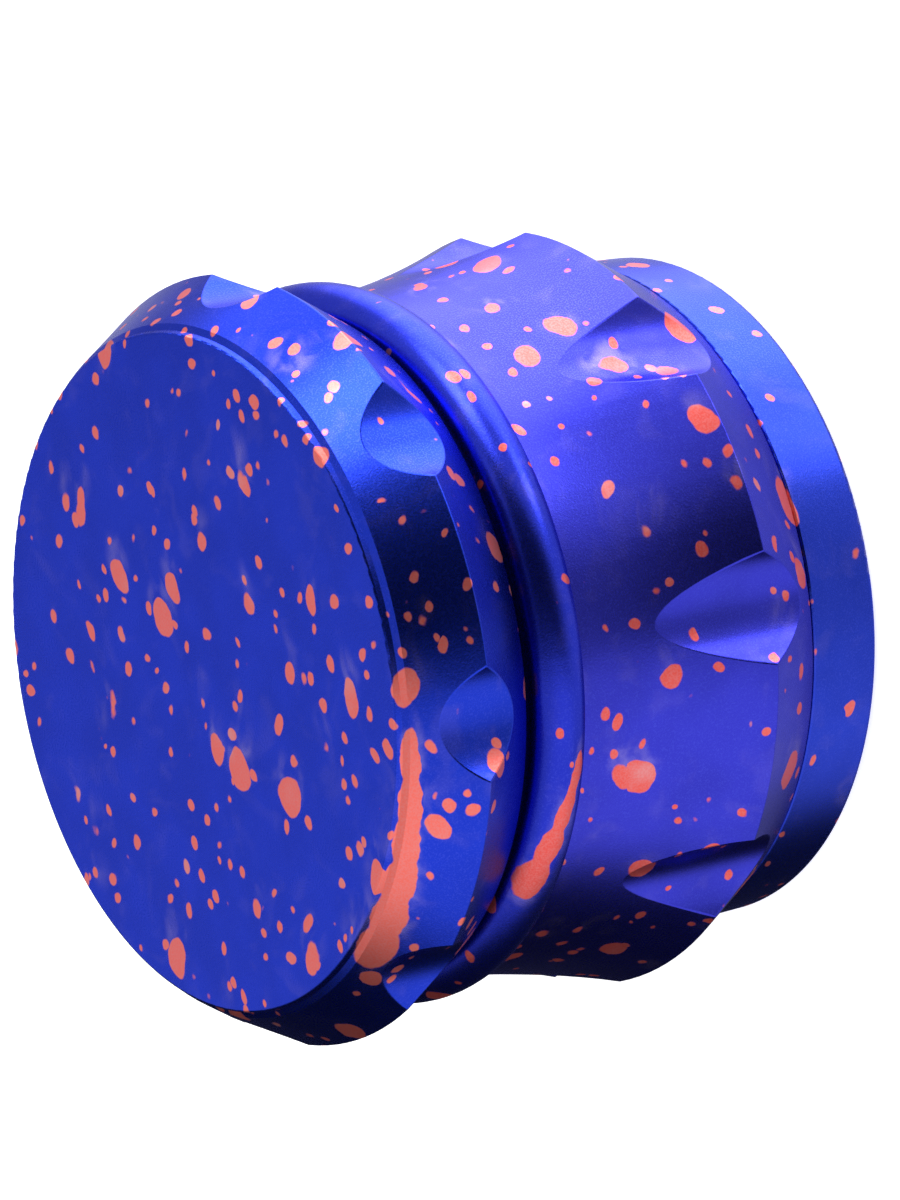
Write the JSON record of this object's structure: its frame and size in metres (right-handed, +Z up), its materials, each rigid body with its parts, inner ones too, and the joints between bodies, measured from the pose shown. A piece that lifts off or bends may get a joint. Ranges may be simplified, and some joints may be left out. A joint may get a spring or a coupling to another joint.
{
  "type": "hand herb grinder",
  "caption": "Round hand grinder for dried herbs: toothed lid over a grinding chamber, storage drum with sieve, and screw-on cup.",
  "frame": {"origin": "centre of the cup's flat underside, on the surface that the grinder stands on", "axes": "+Z up along the common axis, from the cup to the lid; +X through the middle of one scallop of the drum"},
  "size_m": [0.0628, 0.0628, 0.0475],
  "materials": {
    "lid_blue": "matte bead-blasted blue with coral splatter",
    "chamber_blue": "matte bead-blasted blue with coral splatter",
    "drum_blue": "matte bead-blasted blue with coral splatter",
    "cup_blue": "matte bead-blasted blue with coral splatter",
    "frame_steel": "brushed",
    "mesh_steel": "fine plain weave",
    "spring_steel": "phosphated",
    "magnet_plate": "nickel plate",
    "ring_polymer": "moulded matte",
    "seal_rubber": "matte"
  },
  "bodies": {
    "cup": {"kief_cup": "cup_blue"},
    "lower_seal": {"cup_seal": "seal_rubber"},
    "drum": {"storage_drum": "drum_blue", "sieve_frame": "frame_steel", "sieve_mesh": "mesh_steel", "retaining_ring": "spring_steel"},
    "upper_seal": {"chamber_seal": "seal_rubber"},
    "chamber": {"grinding_chamber": "chamber_blue", "chamber_magnet": "magnet_plate"},
    "ring": {"friction_ring": "ring_polymer"},
    "lid": {"lid": "lid_blue", "lid_magnet": "magnet_plate"}
  },
  "joints": [
    {"name": "drum_unscrew", "type": "hinge", "parent": "cup", "child": "lower_seal", "pos_m": [0, 0, 0.0075], "axis": [0, 0, 1], "range_deg": [0, 360]},
    {"name": "drum_rise", "type": "slide", "parent": "lower_seal", "child": "drum", "axis": [0, 0, 1], "range_m": [0, 0.004]},
    {"name": "chamber_rise", "type": "slide", "parent": "drum", "child": "upper_seal", "axis": [0, 0, 1], "range_m": [0, 0.004]},
    {"name": "chamber_unscrew", "type": "hinge", "parent": "upper_seal", "child": "chamber", "pos_m": [0, 0, 0.02976], "axis": [0, 0, 1], "range_deg": [0, 360]},
    {"name": "lid_lift", "type": "slide", "parent": "chamber", "child": "ring", "axis": [0, 0, 1], "range_m": [0, 0.03]},
    {"name": "lid_spin", "type": "hinge", "parent": "ring", "child": "lid", "pos_m": [0, 0, 0.035], "axis": [0, 0, 1], "continuous": true}
  ],
  "couplings": [
    {"joint": "drum_rise", "follows": "drum_unscrew", "m_per_rad": 0.0006366},
    {"joint": "chamber_rise", "follows": "chamber_unscrew", "m_per_rad": 0.0006366}
  ]
}
